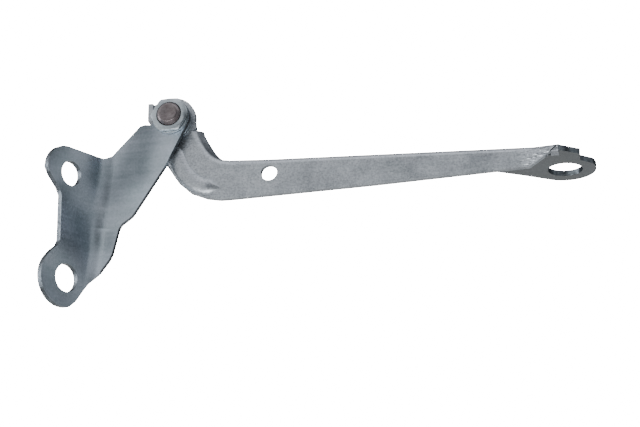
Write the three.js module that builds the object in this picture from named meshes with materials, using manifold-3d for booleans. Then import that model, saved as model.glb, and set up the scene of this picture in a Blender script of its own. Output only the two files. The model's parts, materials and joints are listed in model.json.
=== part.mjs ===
// Gate opener arm: a bent plate bracket, a bolted pivot and a pressed steel lever that ends
// in a flat linkage eye. Millimetres, +Z up, +X along the lever, +Y along the pivot bolt
// towards its head.
import * as THREE from "three";
import * as BufferGeometryUtils from "three/addons/utils/BufferGeometryUtils.js";
import Module from "manifold-3d";

const wasm = await Module();
wasm.setup();
const { Manifold, Mesh } = wasm;

// ---- driving dimensions ----
const GAP = 0.3; // running clearance between neighbouring pieces
const ROUND = 48; // sides of the round features

// bracket
const PLATE_T = 3; // bracket sheet thickness
const FOLD_TILT = 4.6; // lean of the fold line from upright, degrees
const FOLD_ANGLE = 60; // how far the foot is folded out of the ear plane, degrees
const FOLD_R = 8; // inside radius of the fold
const FOLD_STEPS = 8;
const FOLD_AT = [-36, -45]; // X and Z of a point on the line where ear and foot planes meet
const UPPER_HOLE = { v: 20.9, w: 9.9, r: 6.3 };
const LOWER_HOLE = { v: 15.7, w: -43.7, r: 7.1 };

// pivot
const BOLT_R = 6;
const BOLT_FRONT = -6.4; // Y of the plain end of the bolt
const BORE_R = BOLT_R + GAP;
const FRONT_WASHER = { y0: -1.6, y1: -GAP, r: 9.5 };
const NUT = { y0: -4.1, y1: -1.9, flats: 17.2 };
const THRUST_WASHER = { y0: PLATE_T + GAP, y1: 5.7, r: 9.6 };
const BUSH_R = 7.9;
const REAR_WASHER = { y0: 9.5, y1: 11.2, r: 8.9 };
const BOLT_HEAD = { y0: 11.5, y1: 16.5, r: 8.6, dome: 2 };

// lever
const WALL_Y = 6; // front face of the lever side wall
const WALL_T = 3;
const WALL_BACK = WALL_Y + WALL_T;
const HEAD_R = 11.9;
const HEAD_Z = 1.0;
const EDGE_R = 4; // outside radius of the folded upper edge
const STOP_TAB = { x0: -13, x1: -10.4, z0: -0.6, z1: 9.2, y0: 2.2 };
const BAR_HOLE = { x: 50.5, z: -32.4, r: 4.15 };
const RIB = { half: 5, height: 2.1 };

// eye plate
const EYE_TOP = -29.2;
const EYE_T = 3;
const EYE = { x: 197.3, y: 33.9, r: 15.6, hole: 8.7 };
const TIP_CUT = [ // slanted end of the lever: what lies to the right of it is cut away
  [181.3, -46], [181.3, -40.2], [190.4, -34.2], [196.4, -28], [200, -24], [210, -24], [210, -46],
];

// the whole assembly is placed so that the wall face of the bracket foot holds the origin
const FOOT_CENTRE = { v: 18, w: -17 };

// ---- helpers ----
const rad = THREE.MathUtils.degToRad;

function toManifold(geometry) {
  const g = geometry.clone();
  g.deleteAttribute("normal");
  g.deleteAttribute("uv");
  const m = BufferGeometryUtils.mergeVertices(g, 1e-4);
  return new Manifold(new Mesh({
    numProp: 3,
    vertProperties: new Float32Array(m.attributes.position.array),
    triVerts: new Uint32Array(m.index.array),
  }));
}

// main body of a solid, without the empty slivers that joining facets can leave
function largest(manifold) {
  return manifold.decompose().sort((a, b) => b.volume() - a.volume())[0];
}

function toGeometry(manifold) {
  const mesh = manifold.getMesh();
  const g = new THREE.BufferGeometry();
  g.setAttribute("position", new THREE.BufferAttribute(mesh.vertProperties, 3));
  g.setIndex(new THREE.BufferAttribute(mesh.triVerts, 1));
  const flat = g.toNonIndexed();
  flat.computeVertexNormals();
  return flat;
}

// solid through equal rings of points: closed loops, capped at both ends, facing out
function loft(rings) {
  const n = rings[0].length;
  const positions = rings.flat().flatMap((p) => [p.x, p.y, p.z]);
  const index = [];
  for (let i = 0; i + 1 < rings.length; i += 1) {
    for (let j = 0; j < n; j += 1) {
      const a = i * n + j;
      const b = i * n + (j + 1) % n;
      index.push(a, b, b + n, a, b + n, a + n);
    }
  }
  const cap = THREE.ShapeUtils.triangulateShape(ringOutline(rings[0]), []);
  const last = (rings.length - 1) * n;
  for (const [a, b, c] of cap) {
    index.push(a, c, b);
    index.push(last + a, last + b, last + c);
  }
  const solid = new Manifold(new Mesh({
    numProp: 3,
    vertProperties: new Float32Array(positions),
    triVerts: new Uint32Array(index),
  }));
  return solid.volume() < 0 ? loft([...rings].reverse()) : solid;
}

// outline of a flat ring, in its own plane, for triangulating an end cap
function ringOutline(ring) {
  const u = ring[1].clone().sub(ring[0]).normalize();
  const normal = new THREE.Vector3();
  ring.forEach((p, i) => {
    const q = ring[(i + 1) % ring.length];
    normal.add(p.clone().sub(ring[0]).cross(q.clone().sub(ring[0])));
  });
  const v = normal.normalize().cross(u);
  return ring.map((p) => {
    const d = p.clone().sub(ring[0]);
    return new THREE.Vector2(d.dot(u), d.dot(v));
  });
}

// plate with an outline in X and Z, filling y0..y1
function plateXZ(points, y0, y1) {
  const ring = (y) => points.map(([x, z]) => new THREE.Vector3(x, y, z));
  return loft([ring(y0), ring(y1)]);
}

// plate with an outline in X and Y, filling z0..z1
function plateXY(points, z0, z1) {
  const ring = (z) => points.map(([x, y]) => new THREE.Vector3(x, y, z));
  return loft([ring(z0), ring(z1)]);
}

function arcPoints(cx, cy, r, from, to, steps) {
  return Array.from({ length: steps + 1 }, (_, i) => {
    const a = rad(from + (to - from) * i / steps);
    return [cx + r * Math.cos(a), cy + r * Math.sin(a)];
  });
}

// solid of revolution about the bolt axis through [radius, y] pairs of rising y, with flat ends
function turned(profile, sides = ROUND) {
  const rings = profile.map(([r, y]) => arcPoints(0, 0, r, 0, 360 * (1 - 1 / sides), sides - 1)
    .map(([x, z]) => new THREE.Vector3(x, y, z)));
  return loft(rings);
}

function disc(r, y0, y1, bevel = 0) {
  if (bevel === 0) {
    return turned([[r, y0], [r, y1]]);
  }
  return turned([[r - bevel, y0], [r, y0 + bevel], [r, y1 - bevel], [r - bevel, y1]]);
}

function washer({ y0, y1, r }) {
  return disc(r, y0, y1, 0.25).subtract(disc(BORE_R, y0 - 1, y1 + 1));
}

// hexagon prism with its corners turned away at both faces
function hexagon({ y0, y1, flats }) {
  const corner = flats / Math.sqrt(3);
  const prism = plateXZ(arcPoints(0, 0, corner, 0, 300, 5), y0, y1);
  const cut = corner - flats / 2 + 0.15;
  const cone = turned([
    [flats / 2 - 0.15, y0], [corner, y0 + cut * 0.6],
    [corner, y1 - cut * 0.6], [flats / 2 - 0.15, y1],
  ]);
  return prism.intersect(cone);
}

// ---- bracket ----
// The ear lies behind Y = 0. r runs right from the fold line, w up along it.
const foldLine = new THREE.Vector3(Math.sin(rad(FOLD_TILT)), 0, Math.cos(rad(FOLD_TILT)));
const acrossEar = new THREE.Vector3(Math.cos(rad(FOLD_TILT)), 0, -Math.sin(rad(FOLD_TILT)));
const foldPoint = new THREE.Vector3(FOLD_AT[0], 0, FOLD_AT[1]);
const behind = new THREE.Vector3(0, 1, 0);
const SETBACK = FOLD_R * Math.tan(rad(FOLD_ANGLE / 2));

// position at u (run of the sheet from the fold line, foot negative), w and depth t
function bentSheet(u, w, t) {
  const p = foldPoint.clone().addScaledVector(foldLine, w);
  if (u >= SETBACK) {
    return p.addScaledVector(acrossEar, u).addScaledVector(behind, t);
  }
  const total = rad(FOLD_ANGLE);
  const a = Math.min(Math.max((SETBACK - u) / (2 * SETBACK), 0), 1) * total;
  const reach = Math.max(-u - SETBACK, 0);
  p.addScaledVector(acrossEar, SETBACK - (FOLD_R + t) * Math.sin(a) - reach * Math.cos(total));
  p.addScaledVector(behind, (FOLD_R + t) * Math.cos(a) - FOLD_R - reach * Math.sin(total));
  return p;
}

// part of an outline lying between two u values
function clipStrip(points, u0, u1) {
  const half = (loop, keep, at) => loop.flatMap((p, i) => {
    const q = loop[(i + 1) % loop.length];
    const out = keep(p) ? [p] : [];
    if (keep(p) !== keep(q)) {
      const k = (at - p[0]) / (q[0] - p[0]);
      out.push([at, p[1] + k * (q[1] - p[1])]);
    }
    return out;
  });
  const right = half(points, (p) => p[0] >= u0, u0);
  return half(right, (p) => p[0] <= u1, u1);
}

// one flat facet of the bent sheet between u0 and u1
function bentFacet(points, u0, u1) {
  const loop = clipStrip(points, u0, u1);
  const ring = (t) => loop.map(([u, w]) => {
    const a = bentSheet(u0, w, t);
    const b = bentSheet(u1, w, t);
    return a.lerp(b, (u - u0) / (u1 - u0));
  });
  return loft([ring(PLATE_T), ring(0)]);
}

// drill along the thickness of the foot at v outward from the fold line and w up it
function footDrill({ v, w, r }) {
  const front = bentSheet(-v, w, -4);
  const back = bentSheet(-v, w, PLATE_T + 4);
  const g = new THREE.CylinderGeometry(r, r, front.distanceTo(back), ROUND);
  const turn = new THREE.Quaternion().setFromUnitVectors(behind, back.clone().sub(front).normalize());
  g.applyQuaternion(turn);
  g.translate(...front.lerp(back, 0.5).toArray());
  return toManifold(g);
}

function bracketOutline() {
  const upper = arcPoints(-24.2, 11, 12.2, 93, 190, 12);
  const lower = arcPoints(-17.2, -43.9, 14.9, 146, 292, 18);
  return [
    [3.2, 26.2], [16.4, 42.6], [19, 43.4], [22.4, 43.2],
    ...arcPoints(32.2, 47.7, 9.8, 200, -24, 16),
    [39.3, 39.6], [32.2, 21.2], [18.8, -4.2], [17.4, -6.4], [12.4, -10.8], [11.3, -13.4],
    [9.4, -26.6], [8.2, -29.8], [4.4, -36.4], [-0.4, -42.2], [-4, -47.4], [-8, -54],
    ...lower.reverse(),
    [-26.8, -31.8], [-23.8, -28.9], [-22.8, -25.6], [-25.4, -2.8], [-27.8, 0.6], [-33.6, 5.4],
    ...upper.reverse(),
    [-24.4, 23.2], [-1, 24.2],
  ];
}

function bracketPlate() {
  const outline = bracketOutline();
  const cuts = Array.from({ length: FOLD_STEPS + 1 }, (_, i) => SETBACK * (2 * i / FOLD_STEPS - 1));
  const edges = [-60, ...cuts, 70];
  let sheet = null;
  for (let i = 0; i + 1 < edges.length; i += 1) {
    const facet = bentFacet(outline, edges[i], edges[i + 1]);
    sheet = sheet ? sheet.add(facet) : facet;
  }
  return largest(sheet)
    .subtract(footDrill(UPPER_HOLE))
    .subtract(footDrill(LOWER_HOLE))
    .subtract(disc(BORE_R, -1, PLATE_T + 1));
}

// ---- pivot ----
function pivotBolt() {
  const { y0, y1, r, dome } = BOLT_HEAD;
  return turned([
    [BOLT_R - 1.1, BOLT_FRONT], [BOLT_R, BOLT_FRONT + 1.1], [BOLT_R, y0],
    [r, y0 + 0.01], [r, y1 - dome], [r - dome * 0.3, y1 - dome * 0.3], [r - dome, y1],
  ]);
}

function lockNut() {
  return hexagon(NUT).subtract(disc(BORE_R, NUT.y0 - 1, NUT.y1 + 1));
}

function pivotBush() {
  return disc(BUSH_R, WALL_Y, WALL_BACK + 0.2, 0.2).subtract(disc(BORE_R, 0, 20));
}

// ---- lever ----
// crest of the folded upper edge: X, Z, fold angle and reach behind the wall
function crestPath() {
  const neck = [
    [12.2, -5.2, 60, 9.4], [13.2, -8.4, 60, 9.6], [15, -12, 60, 9.8], [17.1, -15.5, 61, 9.8],
    [19.5, -18.6, 64, 9.4], [22.4, -20.9, 70, 8.6], [25.6, -22.3, 80, 7.4], [29.5, -22.9, 88, 6.4],
  ];
  const bar = [[50, -24, 90, 6], [90, -25.2, 90, 6], [140, -27.1, 90, 6], [168, -28.2, 90, 6]];
  return [...neck, ...bar, [184, -28.5, 90, 6], [200, -27.6, 90, 6]];
}

function outwardNormals(path) {
  return path.map((p, i) => {
    const a = path[Math.max(i - 1, 0)];
    const b = path[Math.min(i + 1, path.length - 1)];
    const l = Math.hypot(b[0] - a[0], b[1] - a[1]);
    return [-(b[1] - a[1]) / l, (b[0] - a[0]) / l];
  });
}

// rounded edge and narrow lip turned back along the crest
function foldedEdge() {
  const path = crestPath();
  const normals = outwardNormals(path);
  const rings = path.map(([x, z, angle, reach], i) => {
    const [nx, nz] = normals[i];
    const at = (n, y) => new THREE.Vector3(x + nx * n, WALL_Y + y, z + nz * n);
    const end = rad(angle);
    const lip = Math.max(reach - EDGE_R, 0.2);
    const outer = [];
    const inner = [];
    for (let k = 0; k <= 6; k += 1) {
      const a = end * k / 6;
      outer.push([-EDGE_R + EDGE_R * Math.sin(a), EDGE_R - EDGE_R * Math.cos(a)]);
      inner.push([-EDGE_R + (EDGE_R - WALL_T) * Math.sin(a), EDGE_R - (EDGE_R - WALL_T) * Math.cos(a)]);
    }
    const slide = ([n, y]) => [n + lip * Math.cos(end), y + lip * Math.sin(end)];
    const section = [
      [-EDGE_R - 2, 0], ...outer, slide(outer[6]), slide(inner[6]),
      ...inner.reverse(), [-EDGE_R - 2, WALL_T],
    ];
    return section.map(([n, y]) => at(n, y));
  });
  return loft(rings);
}

function wallOutline() {
  const path = crestPath();
  const normals = outwardNormals(path);
  const top = path.map(([x, z], i) => [x - normals[i][0] * (EDGE_R + 1), z - normals[i][1] * (EDGE_R + 1)]);
  return [
    [STOP_TAB.x0, STOP_TAB.z1], [-8.4, 10.6],
    ...arcPoints(-0.5, HEAD_Z, HEAD_R, 122, -8, 14),
    [11.9, -5.2], ...top,
    [200, -39.4], [181.3, -39.8], [166, -40.4], [104.4, -42.9], [32, -44.9], [25.4, -44.9],
    [18.2, -43.6], [9.8, -40.1], [3.2, -34.1], [-2.8, -25], [-10.2, -9.4], [-10.6, STOP_TAB.z0],
    [STOP_TAB.x0, STOP_TAB.z0],
  ];
}

// raised rib that stiffens the outer side of the bend
function stiffeningRib() {
  const line = new THREE.CatmullRomCurve3([
    [-0.6, -13], [1.6, -21], [5.4, -28.6], [10.6, -34.2], [17, -37.4], [24.6, -38.6],
  ].map(([x, z]) => new THREE.Vector3(x, 0, z)));
  const count = 16;
  const rings = Array.from({ length: count + 1 }, (_, i) => {
    const p = line.getPointAt(i / count);
    const d = line.getTangentAt(i / count);
    const taper = Math.min(1, 0.25 + 0.35 * Math.min(i, count - i));
    return Array.from({ length: 9 }, (__, k) => {
      const a = Math.PI * k / 8;
      const n = RIB.half * taper * Math.cos(a);
      const y = WALL_Y + 0.6 - (RIB.height + 0.6) * taper * Math.sin(a);
      return new THREE.Vector3(p.x + d.z * n, y, p.z - d.x * n);
    });
  });
  return loft(rings);
}

function armPressing() {
  const { x0, x1, y0, z0, z1 } = STOP_TAB;
  const tab = plateXZ([[x0, z0], [x1, z0], [x1, z1], [x0, z1]], y0, WALL_Y + 1);
  const hole = disc(BAR_HOLE.r, 0, 20).translate(BAR_HOLE.x, 0, BAR_HOLE.z);
  const tip = plateXZ(TIP_CUT, 0, 20);
  return plateXZ(wallOutline(), WALL_Y, WALL_BACK)
    .add(foldedEdge())
    .add(stiffeningRib())
    .add(tab)
    .subtract(disc(BUSH_R + GAP, 0, 20))
    .subtract(hole)
    .subtract(tip);
}

// ---- eye ----
function eyePlate() {
  const near = WALL_Y + 6 + GAP;
  const outline = [
    [138, near], [196.1, near], [196.1, 6.8], [197.2, 6.8], [206.4, 13.8], [205.8, 22.2],
    ...arcPoints(EYE.x, EYE.y, EYE.r, -24, 128, 18),
    [176, 38.2], [163.9, 30.6], [150, 21],
  ];
  const pin = new THREE.CylinderGeometry(EYE.hole, EYE.hole, EYE_T + 4, ROUND);
  pin.rotateX(Math.PI / 2);
  pin.translate(EYE.x, EYE.y, EYE_TOP - EYE_T / 2);
  return plateXY(outline, EYE_TOP - EYE_T, EYE_TOP).subtract(toManifold(pin));
}

// bead that fills the corner between the slanted lever tip and the plate
function tipWeld() {
  const bottom = EYE_TOP - EYE_T;
  const side = 195.7;
  return plateXZ([[192.9, bottom - 0.4], [side, bottom - 0.4], [side, EYE_TOP - 0.5]], WALL_Y, 12);
}

// rippled bead laid under the plate against the back of the wall
function seamWeld(x0, x1) {
  const ripples = Math.round((x1 - x0) / 1.6);
  const rings = Array.from({ length: ripples * 2 + 1 }, (_, i) => {
    const x = x0 + (x1 - x0) * i / (ripples * 2);
    const r = (i === 0 || i === ripples * 2 ? 1.2 : 2.4) + (i % 2 ? 0.25 : 0);
    const y = WALL_BACK + GAP;
    const z = EYE_TOP - EYE_T - 1.4;
    return [[0, 0], [r, 0], [r * 0.75, -r * 0.55], [r * 0.4, -r * 0.85], [0, -r]]
      .map(([dy, dz]) => new THREE.Vector3(x, y + dy, z + dz));
  });
  return loft(rings);
}

// ---- assembly ----
const material = (hex) => new THREE.MeshStandardMaterial({ color: hex, metalness: 0.9, roughness: 0.45 });

const MATERIALS = {
  bracket: material(0x86939a),
  lever: material(0x9aa0a6),
  eye: material(0x74787a),
  weld: material(0xa6abaf),
  pin: material(0x6f6a6d),
  fixing: material(0x8e979e),
  bush: material(0x6b5a3c),
};

const PIECES = [
  ["bracket_plate", bracketPlate, "bracket"],
  ["pivot_bolt", pivotBolt, "pin"],
  ["lock_nut", lockNut, "fixing"],
  ["front_washer", () => washer(FRONT_WASHER), "fixing"],
  ["thrust_washer", () => washer(THRUST_WASHER), "fixing"],
  ["rear_washer", () => washer(REAR_WASHER), "fixing"],
  ["arm_pressing", armPressing, "lever"],
  ["pivot_bush", pivotBush, "bush"],
  ["eye_plate", eyePlate, "eye"],
  ["eye_weld_1", () => seamWeld(142, 154), "weld"],
  ["eye_weld_2", () => seamWeld(164, 176), "weld"],
  ["tip_weld", tipWeld, "weld"],
];

const origin = bentSheet(-FOOT_CENTRE.v, FOOT_CENTRE.w, PLATE_T);
const assembly = new THREE.Group();
assembly.name = "gate_opener_arm";
for (const [name, build, kind] of PIECES) {
  const geometry = toGeometry(build());
  geometry.translate(-origin.x, -origin.y, -origin.z);
  const mesh = new THREE.Mesh(geometry, MATERIALS[kind]);
  mesh.name = name;
  assembly.add(mesh);
}

export default assembly;
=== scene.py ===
import json
import math

import bmesh
import bpy
from mathutils import Matrix, Vector


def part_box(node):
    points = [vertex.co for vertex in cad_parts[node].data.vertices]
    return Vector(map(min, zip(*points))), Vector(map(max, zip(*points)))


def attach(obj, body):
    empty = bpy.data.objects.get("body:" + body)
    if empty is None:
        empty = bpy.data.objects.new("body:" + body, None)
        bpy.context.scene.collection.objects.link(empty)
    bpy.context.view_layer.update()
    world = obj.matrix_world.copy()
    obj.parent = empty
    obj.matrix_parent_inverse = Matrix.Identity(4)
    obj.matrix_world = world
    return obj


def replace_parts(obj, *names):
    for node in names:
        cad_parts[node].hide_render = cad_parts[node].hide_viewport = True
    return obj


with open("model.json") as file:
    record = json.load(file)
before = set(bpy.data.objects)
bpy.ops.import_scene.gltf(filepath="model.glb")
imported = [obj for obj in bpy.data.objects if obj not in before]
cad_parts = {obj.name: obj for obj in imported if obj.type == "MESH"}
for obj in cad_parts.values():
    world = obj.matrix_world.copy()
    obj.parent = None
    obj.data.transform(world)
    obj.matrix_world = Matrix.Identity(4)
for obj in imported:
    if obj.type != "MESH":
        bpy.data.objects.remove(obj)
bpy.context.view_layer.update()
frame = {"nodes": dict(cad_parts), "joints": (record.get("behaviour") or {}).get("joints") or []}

bl_info = {
    "name": "Gate opener arm",
    "version": (1, 0, 0),
    "blender": (4, 2, 0),
    "location": "View3D > Sidebar > Gate arm",
    "description": "Builds the finished bracket, lever, eye and pivot of a gate opener arm",
    "category": "Object",
}

MM = 0.001
PIVOT = Vector(frame["joints"][0]["pos_m"])
BORE_R = 6.3  # bore of nut, washers and bush, in millimetres
SHANK_R = 6.0  # radius of the bolt, in millimetres

# fold of the bracket plate: a point on its line, measured from the pivot, and its lean
FOLD_POINT = Vector((-36, 0, -45)) * MM
FOLD_TILT = math.radians(4.6)
CREASE_W = -12.6  # place of the crease up the fold line, in millimetres
CREASE_RUN = 2.8  # over which the strip below it comes forward, in millimetres


# ---- shape helpers ----

def to_linear(code):
    """Linear RGBA of an sRGB hex colour."""
    parts = [int(code[i:i + 2], 16) / 255 for i in (1, 3, 5)]
    curve = [c / 12.92 if c <= 0.04045 else ((c + 0.055) / 1.055) ** 2.4 for c in parts]
    return (*curve, 1.0)


def finish_piece(bm, name, body, material, sharp=32.0):
    """Turns a bmesh into a named piece on a body of the frame, with edges sharp from an angle."""
    for face in bm.faces:
        face.smooth = True
    for edge in bm.edges:
        edge.smooth = edge.calc_face_angle(0.0) < math.radians(sharp)
    mesh = bpy.data.meshes.new(name)
    bm.to_mesh(mesh)
    bm.free()
    piece = bpy.data.objects.new(name, mesh)
    bpy.context.scene.collection.objects.link(piece)
    mesh.materials.append(material)
    flats = piece.modifiers.new("flat_faces_stay_flat", "WEIGHTED_NORMAL")
    flats.mode = "FACE_AREA"
    flats.weight = 60
    flats.keep_sharp = True
    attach(piece, body)
    return piece


def merged_copy(node):
    """A bmesh of a frame node with its loose triangles joined and its flats dissolved."""
    bm = bmesh.new()
    bm.from_mesh(frame["nodes"][node].data)
    bmesh.ops.remove_doubles(bm, verts=bm.verts, dist=0.002 * MM)
    bmesh.ops.dissolve_degenerate(bm, edges=bm.edges, dist=0.01 * MM)
    bmesh.ops.dissolve_limit(
        bm, angle_limit=math.radians(1.0), verts=bm.verts, edges=bm.edges)
    return bm


def mark_sheared(bm, thick):
    """Gives the walls across the sheet, which join its two skins, the second material, whose dark colour is
    partly painted shade.
    """
    for face in bm.faces:
        across = [e for e in face.edges if abs(e.calc_length() - thick) < 0.03 * MM]
        if len(across) >= 2 and face.calc_area() < thick * face.calc_perimeter() / 2:
            face.material_index = 1


def break_edges(bm, width, angle=35.0, segments=2):
    """Rounds every sharp edge, as tumbling and plating leave a pressed part."""
    sharp = [e for e in bm.edges if e.is_manifold and e.calc_face_angle(0.0) > math.radians(angle)]
    bmesh.ops.bevel(
        bm, geom=sharp, offset=width, offset_type="OFFSET", affect="EDGES",
        segments=segments, profile=0.5, material=-1, clamp_overlap=True)


def turned(profile, steps=64):
    """A bmesh spun about the pivot axis from (radius, y) pairs in millimetres."""
    bm = bmesh.new()
    verts = [bm.verts.new(PIVOT + Vector((r * MM, y * MM, 0))) for r, y in profile]
    edges = [bm.edges.new(pair) for pair in zip(verts, verts[1:])]
    if profile[0][0] > 0:
        edges.append(bm.edges.new((verts[-1], verts[0])))
    bmesh.ops.spin(
        bm, geom=verts + edges, cent=PIVOT, axis=(0, 1, 0), angle=math.tau,
        steps=steps, use_merge=True, use_duplicate=False)
    bmesh.ops.remove_doubles(bm, verts=bm.verts, dist=0.002 * MM)
    bmesh.ops.recalc_face_normals(bm, faces=bm.faces)
    return bm


def press_crease(bm, depth):
    """Sets the narrow strip below the ear forward near the fold, with a crease across it."""
    up_fold = Vector((math.sin(FOLD_TILT), 0, math.cos(FOLD_TILT)))
    across = Vector((math.cos(FOLD_TILT), 0, -math.sin(FOLD_TILT)))
    corner = PIVOT + FOLD_POINT
    for w in (CREASE_W, CREASE_W - 0.8, CREASE_W - 1.6, CREASE_W - CREASE_RUN):
        bmesh.ops.bisect_plane(
            bm, geom=bm.verts[:] + bm.edges[:] + bm.faces[:], plane_co=corner + up_fold * w * MM,
            plane_no=up_fold)
    for r in (5.0, 7.0, 9.0, 11.0):
        bmesh.ops.bisect_plane(
            bm, geom=bm.verts[:] + bm.edges[:] + bm.faces[:], plane_co=corner + across * r * MM,
            plane_no=across)
    for vert in bm.verts:
        place = (vert.co - corner) / MM
        w, r = place.dot(up_fold), place.dot(across)
        below = min(max((CREASE_W - w) / CREASE_RUN, 0.0), 1.0)
        near = (11.0 - r) / 6.0 if r > 5.0 else (r + 2.5) / 7.5
        if place.y > -4.0:
            vert.co.y -= depth * below * min(max(near, 0.0), 1.0)


# ---- finishes ----

def add_node(tree, kind, sockets=(), **settings):
    """Adds a node, with its settings and its input values or links."""
    node = tree.nodes.new(kind)
    for name, value in settings.items():
        setattr(node, name, value)
    for key, value in dict(sockets).items():
        if isinstance(value, bpy.types.NodeSocket):
            tree.links.new(value, node.inputs[key])
        else:
            node.inputs[key].default_value = value
    return node


def plated_steel(name, dark, light, patch_mm, streak_mm, turn, rough, bump_mm, grain_mm,
                 speckle=0.6, sag_mm=0.0, weld_from_mm=1000):
    """Steel under a metal coat: cloudy patches, drawn streaks, fine grain and an uneven gloss.

    Lengths are in millimetres. sag_mm makes the sheet look gently uneven, and the zinc lies in
    slanted ripples from weld_from_mm along X.
    """
    material = bpy.data.materials.new(name)
    material.use_nodes = True
    tree = material.node_tree
    tree.nodes.clear()
    place = add_node(tree, "ShaderNodeTexCoord")
    streaks_at = add_node(tree, "ShaderNodeMapping", {
        "Vector": place.outputs["Object"],
        "Rotation": (0.0, math.radians(turn), 0.0),
        "Scale": (1.0, 1.0, 9.0),
    })
    patches = add_node(tree, "ShaderNodeTexNoise", {
        "Vector": place.outputs["Object"], "Scale": 1000 / patch_mm, "Detail": 4.0, "Roughness": 0.55,
    })
    streaks = add_node(tree, "ShaderNodeTexNoise", {
        "Vector": streaks_at.outputs["Vector"], "Scale": 1000 / streak_mm, "Detail": 3.0,
    })
    grain = add_node(tree, "ShaderNodeTexNoise", {
        "Vector": place.outputs["Object"], "Scale": 1000 / grain_mm, "Detail": 3.0, "Roughness": 0.6,
    })
    cloud = add_node(tree, "ShaderNodeMath", {
        0: streaks.outputs["Fac"], 1: 0.45, 2: patches.outputs["Fac"]}, operation="MULTIPLY_ADD")
    mottle = add_node(tree, "ShaderNodeMath", {
        0: grain.outputs["Fac"], 1: speckle, 2: cloud.outputs[0]}, operation="MULTIPLY_ADD")
    spread = add_node(tree, "ShaderNodeMapRange", {
        "Value": mottle.outputs[0],
        "From Min": 0.42 + speckle * 0.4, "From Max": 1.02 + speckle * 0.6,
    })
    colour = add_node(tree, "ShaderNodeMix", {
        0: spread.outputs["Result"], 6: to_linear(dark), 7: to_linear(light),
    }, data_type="RGBA")
    gloss = add_node(tree, "ShaderNodeMapRange", {
        "Value": cloud.outputs[0], "From Min": 0.5, "From Max": 0.95,
        "To Min": rough - 0.05, "To Max": rough + 0.05,
    })
    waves = add_node(tree, "ShaderNodeTexNoise", {
        "Vector": place.outputs["Object"], "Scale": 1000 / 32, "Detail": 0.0,
    })
    sag = add_node(tree, "ShaderNodeBump", {
        "Height": waves.outputs["Fac"], "Strength": 1.0, "Distance": sag_mm * MM,
    })
    length = add_node(tree, "ShaderNodeSeparateXYZ", {"Vector": place.outputs["Object"]})
    by_weld = add_node(tree, "ShaderNodeMapRange", {
        "Value": length.outputs["X"],
        "From Min": weld_from_mm * MM, "From Max": (weld_from_mm + 10) * MM,
    })
    slanted = add_node(tree, "ShaderNodeMapping", {
        "Vector": place.outputs["Object"],
        "Rotation": (0.0, math.radians(45), 0.0),
        "Scale": (1.0, 1.0, 3.5),
    })
    ripples = add_node(tree, "ShaderNodeTexNoise", {
        "Vector": slanted.outputs["Vector"], "Scale": 1000 / 5, "Detail": 1.0,
    })
    heaped = add_node(tree, "ShaderNodeMath", {
        0: ripples.outputs["Fac"], 1: by_weld.outputs["Result"]}, operation="MULTIPLY")
    drips = add_node(tree, "ShaderNodeBump", {
        "Height": heaped.outputs[0], "Strength": 1.0, "Distance": 1.2 * MM,
        "Normal": sag.outputs["Normal"],
    })
    relief = add_node(tree, "ShaderNodeBump", {
        "Height": mottle.outputs[0], "Strength": 0.5, "Distance": bump_mm * MM,
        "Normal": drips.outputs["Normal"],
    })
    shader = add_node(tree, "ShaderNodeBsdfPrincipled", {
        "Base Color": colour.outputs[2], "Metallic": 1.0,
        "Roughness": gloss.outputs["Result"], "Normal": relief.outputs["Normal"],
    })
    add_node(tree, "ShaderNodeOutputMaterial", {"Surface": shader.outputs["BSDF"]})
    return material


def zinc_plated_pressed_steel(settings):
    # Electroplated zinc over cold-rolled sheet: satin blue-grey with faint rolling streaks.
    return plated_steel("zinc_plated_pressed_steel", settings.bracket_dark, settings.bracket_light,
                        patch_mm=26, streak_mm=22, turn=-38, rough=0.34,
                        bump_mm=0.02, grain_mm=1.2, sag_mm=10.0)


def sheared_edge_steel_with_painted_shade():
    # Thin plating over a torn, sheared edge: dark, partly from the rough tear and partly as painted shade,
    # with light specks that are painted glints.
    return plated_steel("sheared_edge_painted_shade", "#1E2226", "#8A9399",
                        patch_mm=4, streak_mm=3, turn=0, rough=0.3, bump_mm=0.3, grain_mm=2.2, speckle=1.0)


def galvanised_steel(settings):
    # Hot-dip galvanised: a lighter grey coat with small soft spangles, and drips of zinc that
    # ripple it beside the weld at the tip.
    return plated_steel("galvanised_pressed_steel", settings.lever_dark, settings.lever_light,
                        patch_mm=9, streak_mm=12, turn=82, rough=0.38,
                        bump_mm=0.06, grain_mm=0.9, speckle=2.0, sag_mm=1.5, weld_from_mm=222)


def eye_plate_steel_with_painted_shade(settings):
    # Thin passivated zinc on a blanked plate: even and duller than the lever, and darker than it partly from
    # that coat and partly as painted shade of its shaded underside.
    return plated_steel("eye_plate_steel_painted_shade", settings.eye_dark, settings.eye_light,
                        patch_mm=30, streak_mm=30, turn=0, rough=0.5, bump_mm=0.01, grain_mm=1.5)


def turned_bolt_steel(settings):
    # Bare turned steel, lightly oiled: brownish, with a smeared sheen.
    return plated_steel("turned_bolt_steel", settings.bolt_dark, settings.bolt_light,
                        patch_mm=5, streak_mm=4, turn=20, rough=0.26, bump_mm=0.12, grain_mm=1.4)


def plated_fixing_steel(settings):
    # Barrel-plated nut and washers: brighter zinc, tumbled.
    return plated_steel("barrel_plated_fixing_steel", settings.fixing_dark, settings.fixing_light,
                        patch_mm=6, streak_mm=6, turn=50, rough=0.32, bump_mm=0.02, grain_mm=0.9)


def sintered_bronze(settings):
    # Oil-filled sintered bronze: dull brown-gold.
    return plated_steel("sintered_bronze", "#4A3C26", "#6B5735",
                        patch_mm=5, streak_mm=5, turn=0, rough=0.5, bump_mm=0.02, grain_mm=0.6)


# ---- settings ----

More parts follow.
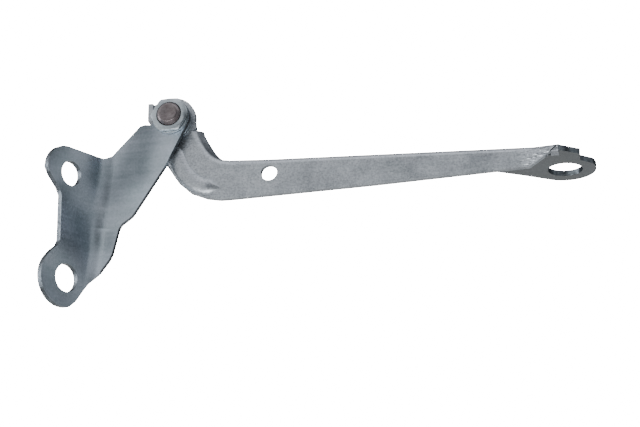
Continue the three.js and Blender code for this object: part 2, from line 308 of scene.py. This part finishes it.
class GATEARM_PG_settings(bpy.types.PropertyGroup):
    """Sizes and colours of the gate opener arm."""
    edge_break: bpy.props.FloatProperty(
        name="Edge break", description="Rounding of the sheared edges of the pressings",
        default=0.45 * MM, min=0.05 * MM, max=1.0 * MM, precision=5, subtype="DISTANCE", unit="LENGTH")
    fixing_break: bpy.props.FloatProperty(
        name="Fixing edge break", description="How far the corners of the nut are turned down",
        default=0.25 * MM, min=0.05 * MM, max=0.6 * MM, precision=5, subtype="DISTANCE", unit="LENGTH")
    crease_depth: bpy.props.FloatProperty(
        name="Crease depth", description="How far the strip below the ear stands forward",
        default=0.8 * MM, min=0.0, max=1.5 * MM, precision=5, subtype="DISTANCE", unit="LENGTH")
    sheet_thickness: bpy.props.FloatProperty(
        name="Sheet thickness", description="Thickness of the pressed sheets, by which their walls are found",
        default=3.0 * MM, min=1.0 * MM, max=6.0 * MM, precision=5, subtype="DISTANCE", unit="LENGTH")
    bracket_dark: bpy.props.StringProperty(
        name="Bracket dark", description="Darker tone of the bracket coat, sRGB hex", default="#8A979D")
    bracket_light: bpy.props.StringProperty(
        name="Bracket light", description="Lighter tone of the bracket coat, sRGB hex", default="#B3BBC7")
    lever_dark: bpy.props.StringProperty(
        name="Lever dark", description="Darker tone of the galvanised coat, sRGB hex", default="#8A9096")
    lever_light: bpy.props.StringProperty(
        name="Lever light", description="Lighter tone of the galvanised coat, sRGB hex", default="#BCC2C8")
    eye_dark: bpy.props.StringProperty(
        name="Eye dark", description="Darker tone of the eye plate, sRGB hex", default="#6E7274")
    eye_light: bpy.props.StringProperty(
        name="Eye light", description="Lighter tone of the eye plate, sRGB hex", default="#85898B")
    bolt_dark: bpy.props.StringProperty(
        name="Bolt dark", description="Darker tone of the bolt, sRGB hex", default="#5A5254")
    bolt_light: bpy.props.StringProperty(
        name="Bolt light", description="Lighter tone of the bolt, sRGB hex", default="#8C8688")
    fixing_dark: bpy.props.StringProperty(
        name="Fixing dark", description="Darker tone of nut and washers, sRGB hex", default="#8E989E")
    fixing_light: bpy.props.StringProperty(
        name="Fixing light", description="Lighter tone of nut and washers, sRGB hex", default="#C4CCD2")
    camera_distance: bpy.props.FloatProperty(
        name="Camera distance", description="Distance from the camera to the middle of the view",
        default=1.0, min=0.3, max=5.0, subtype="DISTANCE", unit="LENGTH")
    camera_azimuth: bpy.props.FloatProperty(
        name="Camera azimuth", description="How far round to the right the camera stands",
        default=math.radians(12), subtype="ANGLE", unit="ROTATION")
    camera_elevation: bpy.props.FloatProperty(
        name="Camera elevation", description="Height of the camera above the level view",
        default=math.radians(-20), subtype="ANGLE", unit="ROTATION")


# ---- pieces ----

class GATEARM_OT_bracket(bpy.types.Operator):
    """Builds the bent bracket plate with its ear and foot"""
    bl_idname = "gatearm.bracket"
    bl_label = "Bracket plate"

    def execute(self, context):
        settings = context.scene.gatearm
        bm = merged_copy("bracket_plate")
        mark_sheared(bm, settings.sheet_thickness)
        press_crease(bm, settings.crease_depth)
        break_edges(bm, settings.edge_break)
        piece = finish_piece(bm, "bracket_pressing", "bracket",
                             zinc_plated_pressed_steel(settings), sharp=40)
        # the second material paints the edge walls dark as shade, with light specks as painted glints
        piece.data.materials.append(sheared_edge_steel_with_painted_shade())
        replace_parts(piece, "bracket_plate")
        return {"FINISHED"}


class GATEARM_OT_lever(bpy.types.Operator):
    """Builds the pressed lever with its stop tab, rib and folded edge"""
    bl_idname = "gatearm.lever"
    bl_label = "Lever pressing"

    def execute(self, context):
        settings = context.scene.gatearm
        bm = merged_copy("arm_pressing")
        break_edges(bm, settings.edge_break)
        piece = finish_piece(bm, "lever_pressing", "arm",
                             galvanised_steel(settings), sharp=40)
        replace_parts(piece, "arm_pressing")
        return {"FINISHED"}


class GATEARM_OT_eye(bpy.types.Operator):
    """Builds the flat eye plate"""
    bl_idname = "gatearm.eye"
    bl_label = "Eye plate"

    def execute(self, context):
        settings = context.scene.gatearm
        bm = merged_copy("eye_plate")
        mark_sheared(bm, settings.sheet_thickness)
        break_edges(bm, settings.edge_break)
        piece = finish_piece(bm, "eye_plate_blank", "arm",
                             # the eye plate's darker tone is partly painted shade of its underside
                             eye_plate_steel_with_painted_shade(settings), sharp=40)
        # the second material paints the edge walls dark as shade, with light specks as painted glints
        piece.data.materials.append(bpy.data.materials["sheared_edge_painted_shade"])
        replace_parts(piece, "eye_plate")
        return {"FINISHED"}


class GATEARM_OT_welds(bpy.types.Operator):
    """Builds the weld beads that hold the eye plate to the lever"""
    bl_idname = "gatearm.welds"
    bl_label = "Weld beads"

    def execute(self, context):
        coat = bpy.data.materials["galvanised_pressed_steel"]
        for node in ("eye_weld_1", "eye_weld_2"):
            low, high = (Vector(corner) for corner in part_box(node))
            bm = bmesh.new()
            count = max(4, round((high.x - low.x) / (1.5 * MM)))
            radius = (high.y - low.y) * 0.95
            for i in range(count):
                x = low.x + radius * 0.5 + (high.x - low.x - radius) * i / (count - 1)
                place = Matrix.Translation((x, low.y + radius * 0.05, high.z - radius * 0.05))
                bead = Matrix.Diagonal((0.5, 0.94, 0.94, 1.0))
                bmesh.ops.create_icosphere(bm, subdivisions=3, radius=radius, matrix=place @ bead)
            for cut, normal in (((0, low.y, 0), (0, -1, 0)), ((0, 0, high.z), (0, 0, 1))):
                bmesh.ops.bisect_plane(
                    bm, geom=bm.verts[:] + bm.edges[:] + bm.faces[:], plane_co=cut,
                    plane_no=normal, clear_outer=True)
                rim = [e for e in bm.edges if e.is_boundary]
                bmesh.ops.holes_fill(bm, edges=rim)
            piece = finish_piece(bm, node.replace("eye_weld", "weld_bead"), "arm", coat)
            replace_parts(piece, node)

        middle = sum((Vector(corner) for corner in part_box("tip_weld")), Vector()) / 2
        bm = merged_copy("tip_weld")
        bmesh.ops.scale(bm, vec=(1.4, 1.0, 1.15), space=Matrix.Translation(-middle), verts=bm.verts)
        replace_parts(finish_piece(bm, "weld_bead_tip", "arm", coat), "tip_weld")
        return {"FINISHED"}


class GATEARM_OT_pivot(bpy.types.Operator):
    """Builds the pivot bolt, nut, washers and bush"""
    bl_idname = "gatearm.pivot"
    bl_label = "Pivot fixings"

    def execute(self, context):
        settings = context.scene.gatearm
        bolt_steel = turned_bolt_steel(settings)
        fixing = plated_fixing_steel(settings)
        low, high = (Vector(corner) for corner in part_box("pivot_bolt"))
        front = (low.y - PIVOT.y) / MM
        back = (high.y - PIVOT.y) / MM
        profile = [(0, front + 0.25), (1.2, front + 0.22), (3.6, front + 0.05), (SHANK_R - 1.3, front),
                   (SHANK_R - 1.0, front + 0.15), (SHANK_R - 0.15, front + 1.0), (SHANK_R, front + 1.25)]
        for turn in range(2):
            y = front + 1.5 + turn * 0.9
            profile += [(SHANK_R, y), (SHANK_R - 0.45, y + 0.45)]
        profile += [(SHANK_R, front + 3.4), (SHANK_R, back - 5.02), (8.35, back - 5.0), (8.6, back - 4.75),
                    (8.6, back - 2.1), (8.2, back - 1.0), (7.4, back - 0.35), (6.2, back), (0, back)]
        bolt = finish_piece(turned(profile), "turned_pivot_bolt", "bracket", bolt_steel)
        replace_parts(bolt, "pivot_bolt")

        low, high = (Vector(corner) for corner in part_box("lock_nut"))
        y0, y1 = (low.y - PIVOT.y) / MM, (high.y - PIVOT.y) / MM
        half_flats = (high.z - low.z) / 2 / MM
        corner = half_flats / math.cos(math.radians(30)) - settings.fixing_break / MM
        slope = (corner - half_flats) * 0.6
        nut = turned([(BORE_R, y0 + 0.3), (BORE_R + 0.3, y0), (half_flats - 0.2, y0), (corner, y0 + slope),
                      (corner, y1 - slope), (half_flats - 0.2, y1), (BORE_R + 0.3, y1),
                      (BORE_R, y1 - 0.3)], steps=96)
        for side in range(6):
            turn = math.radians(30 + 60 * side)
            outward = Vector((math.cos(turn), 0, math.sin(turn)))
            bmesh.ops.bisect_plane(
                nut, geom=nut.verts[:] + nut.edges[:] + nut.faces[:],
                plane_co=PIVOT + outward * half_flats * MM, plane_no=outward, clear_outer=True)
            bmesh.ops.holes_fill(nut, edges=[e for e in nut.edges if e.is_boundary])
        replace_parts(finish_piece(nut, "hex_lock_nut", "bracket", fixing), "lock_nut")

        for node, name in (("front_washer", "washer_under_nut"), ("thrust_washer", "washer_between_ears"),
                           ("rear_washer", "washer_under_head")):
            low, high = (Vector(corner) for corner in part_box(node))
            y0, y1 = (low.y - PIVOT.y) / MM, (high.y - PIVOT.y) / MM
            outer = (high.x - low.x) / 2 / MM
            ring = [(BORE_R, y0 + 0.15), (BORE_R + 0.15, y0), (outer - 0.35, y0), (outer - 0.1, y0 + 0.1),
                    (outer, y0 + 0.35), (outer, y1 - 0.2), (outer - 0.2, y1), (BORE_R + 0.15, y1),
                    (BORE_R, y1 - 0.15)]
            piece = finish_piece(turned(ring), name, "bracket", fixing)
            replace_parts(piece, node)

        low, high = (Vector(corner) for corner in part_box("pivot_bush"))
        y0, y1 = (low.y - PIVOT.y) / MM, (high.y - PIVOT.y) / MM
        outer = (high.x - low.x) / 2 / MM
        ring = [(BORE_R, y0 + 0.3), (BORE_R + 0.3, y0), (outer - 0.2, y0), (outer, y0 + 0.2),
                (outer, y1 - 0.2), (outer - 0.2, y1), (BORE_R + 0.3, y1), (BORE_R, y1 - 0.3)]
        bush = finish_piece(turned(ring), "plain_bearing_bush", "arm",
                            sintered_bronze(settings))
        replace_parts(bush, "pivot_bush")
        return {"FINISHED"}


# ---- stage ----

def soft_panel(name, place, target, size, power, tint):
    """A square soft light that faces a point."""
    data = bpy.data.lights.new(name, "AREA")
    data.shape = "RECTANGLE"
    data.size = size[0]
    data.size_y = size[1]
    data.energy = power
    data.color = to_linear(tint)[:3]
    lamp = bpy.data.objects.new(name, data)
    bpy.context.scene.collection.objects.link(lamp)
    lamp.location = place
    lamp.rotation_euler = (Vector(target) - Vector(place)).to_track_quat("-Z", "Y").to_euler()
    return lamp


class GATEARM_OT_stage(bpy.types.Operator):
    """Builds the pale floor, the soft lights, the sky and the camera"""
    bl_idname = "gatearm.stage"
    bl_label = "Stage"

    def execute(self, context):
        settings = context.scene.gatearm
        bm = bmesh.new()
        bmesh.ops.create_grid(bm, x_segments=1, y_segments=1, size=4.0,
                              matrix=Matrix.Translation((0, 0, -0.62)))
        mesh = bpy.data.meshes.new("pale_floor")
        bm.to_mesh(mesh)
        bm.free()
        floor = bpy.data.objects.new("pale_floor", mesh)
        context.scene.collection.objects.link(floor)
        paint = bpy.data.materials.new("pale_floor_paint")
        paint.use_nodes = True
        shader = paint.node_tree.nodes["Principled BSDF"]
        shader.inputs["Base Color"].default_value = to_linear("#E6E6E4")
        shader.inputs["Roughness"].default_value = 0.8
        mesh.materials.append(paint)

        azimuth, elevation = settings.camera_azimuth, settings.camera_elevation
        back = Vector((math.sin(azimuth) * math.cos(elevation),
                       -math.cos(azimuth) * math.cos(elevation), math.sin(elevation)))
        right = Vector((math.cos(azimuth), math.sin(azimuth), 0))
        up = back.cross(right)
        middle = PIVOT + right * 76.5 * MM - up * 49.6 * MM
        data = bpy.data.cameras.new("camera")
        data.sensor_width = 36
        data.lens = 36 * settings.camera_distance * 1000 / 328.2
        data.clip_start = 0.05
        camera = bpy.data.objects.new("camera", data)
        context.scene.collection.objects.link(camera)
        camera.location = middle + back * settings.camera_distance
        camera.rotation_euler = back.to_track_quat("Z", "Y").to_euler()
        context.scene.camera = camera

        world = bpy.data.worlds.new("soft_sky")
        world.use_nodes = True
        tree = world.node_tree
        tree.nodes.clear()
        place = add_node(tree, "ShaderNodeTexCoord")
        axes = add_node(tree, "ShaderNodeSeparateXYZ", {"Vector": place.outputs["Generated"]})
        ahead = add_node(tree, "ShaderNodeMath", {0: axes.outputs["Y"], 1: 0.0}, operation="MINIMUM")
        round_right = add_node(tree, "ShaderNodeMath", {
            0: ahead.outputs[0], 1: -0.3, 2: axes.outputs["X"]}, operation="MULTIPLY_ADD")
        ring = add_node(tree, "ShaderNodeValToRGB", {"Fac": round_right.outputs[0]})
        stops = ring.color_ramp.elements
        stops[0].position, stops[0].color = 0.0, (1.0, 1.0, 1.0, 1.0)
        stops[1].position, stops[1].color = 1.0, (0.5, 0.52, 0.54, 1.0)
        for at, level in ((0.12, 0.75), (0.32, 0.2), (0.5, 0.09), (0.8, 0.16)):
            stop = stops.new(at)
            stop.color = (level, level * 1.03, level * 1.06, 1.0)
        height = add_node(tree, "ShaderNodeMapRange", {
            "Value": axes.outputs["Z"], "From Min": 0.4, "From Max": 0.75})
        tone = add_node(tree, "ShaderNodeMix", {
            0: height.outputs["Result"], 6: ring.outputs["Color"], 7: (1.5, 1.5, 1.55, 1.0),
        }, data_type="RGBA")
        behind = add_node(tree, "ShaderNodeMapRange", {
            "Value": axes.outputs["Y"], "From Min": -0.1, "From Max": 0.35})
        above = add_node(tree, "ShaderNodeMapRange", {
            "Value": axes.outputs["Z"], "From Min": 0.0, "From Max": 0.2})
        wall = add_node(tree, "ShaderNodeMath", {
            0: behind.outputs["Result"], 1: above.outputs["Result"]}, operation="MULTIPLY")
        room = add_node(tree, "ShaderNodeMix", {
            0: wall.outputs[0], 6: tone.outputs[2], 7: (0.07, 0.08, 0.09, 1.0),
        }, data_type="RGBA")
        sky = add_node(tree, "ShaderNodeBackground", {"Color": room.outputs[2], "Strength": 1.0})
        paper = add_node(tree, "ShaderNodeBackground", {"Color": (1.0, 1.0, 1.0, 1.0), "Strength": 25.0})
        seen = add_node(tree, "ShaderNodeLightPath")
        both = add_node(tree, "ShaderNodeMixShader", {
            0: seen.outputs["Is Camera Ray"], 1: sky.outputs["Background"], 2: paper.outputs["Background"]})
        add_node(tree, "ShaderNodeOutputWorld", {"Surface": both.outputs["Shader"]})
        context.scene.world = world

        soft_panel("low_front_panel", (0.0, -0.75, -0.42), PIVOT, (0.9, 0.25), 5, "#FFFFFF")
        soft_panel("left_panel", (-1.0, -0.2, 0.1), PIVOT, (0.4, 0.8), 4, "#F4F7FF")
        return {"FINISHED"}


class GATEARM_PT_panel(bpy.types.Panel):
    """Sidebar panel with the sizes, colours and builders"""
    bl_idname = "GATEARM_PT_panel"
    bl_label = "Gate opener arm"
    bl_space_type = "VIEW_3D"
    bl_region_type = "UI"
    bl_category = "Gate arm"

    def draw(self, context):
        settings = context.scene.gatearm
        for name in settings.bl_rna.properties.keys():
            if name not in {"rna_type", "name"}:
                self.layout.prop(settings, name)
        for operator in BUILDERS:
            self.layout.operator(operator.bl_idname)


BUILDERS = (
    GATEARM_OT_stage,
    GATEARM_OT_bracket,
    GATEARM_OT_lever,
    GATEARM_OT_eye,
    GATEARM_OT_welds,
    GATEARM_OT_pivot,
)
CLASSES = (GATEARM_PG_settings, *BUILDERS, GATEARM_PT_panel)


def register():
    for cls in CLASSES:
        bpy.utils.register_class(cls)
    bpy.types.Scene.gatearm = bpy.props.PointerProperty(type=GATEARM_PG_settings)


def unregister():
    del bpy.types.Scene.gatearm
    for cls in reversed(CLASSES):
        bpy.utils.unregister_class(cls)


def main():
    register()
    bpy.ops.gatearm.stage()
    bpy.ops.gatearm.bracket()
    bpy.ops.gatearm.lever()
    bpy.ops.gatearm.eye()
    bpy.ops.gatearm.welds()
    bpy.ops.gatearm.pivot()


if __name__ == "__main__":
    main()
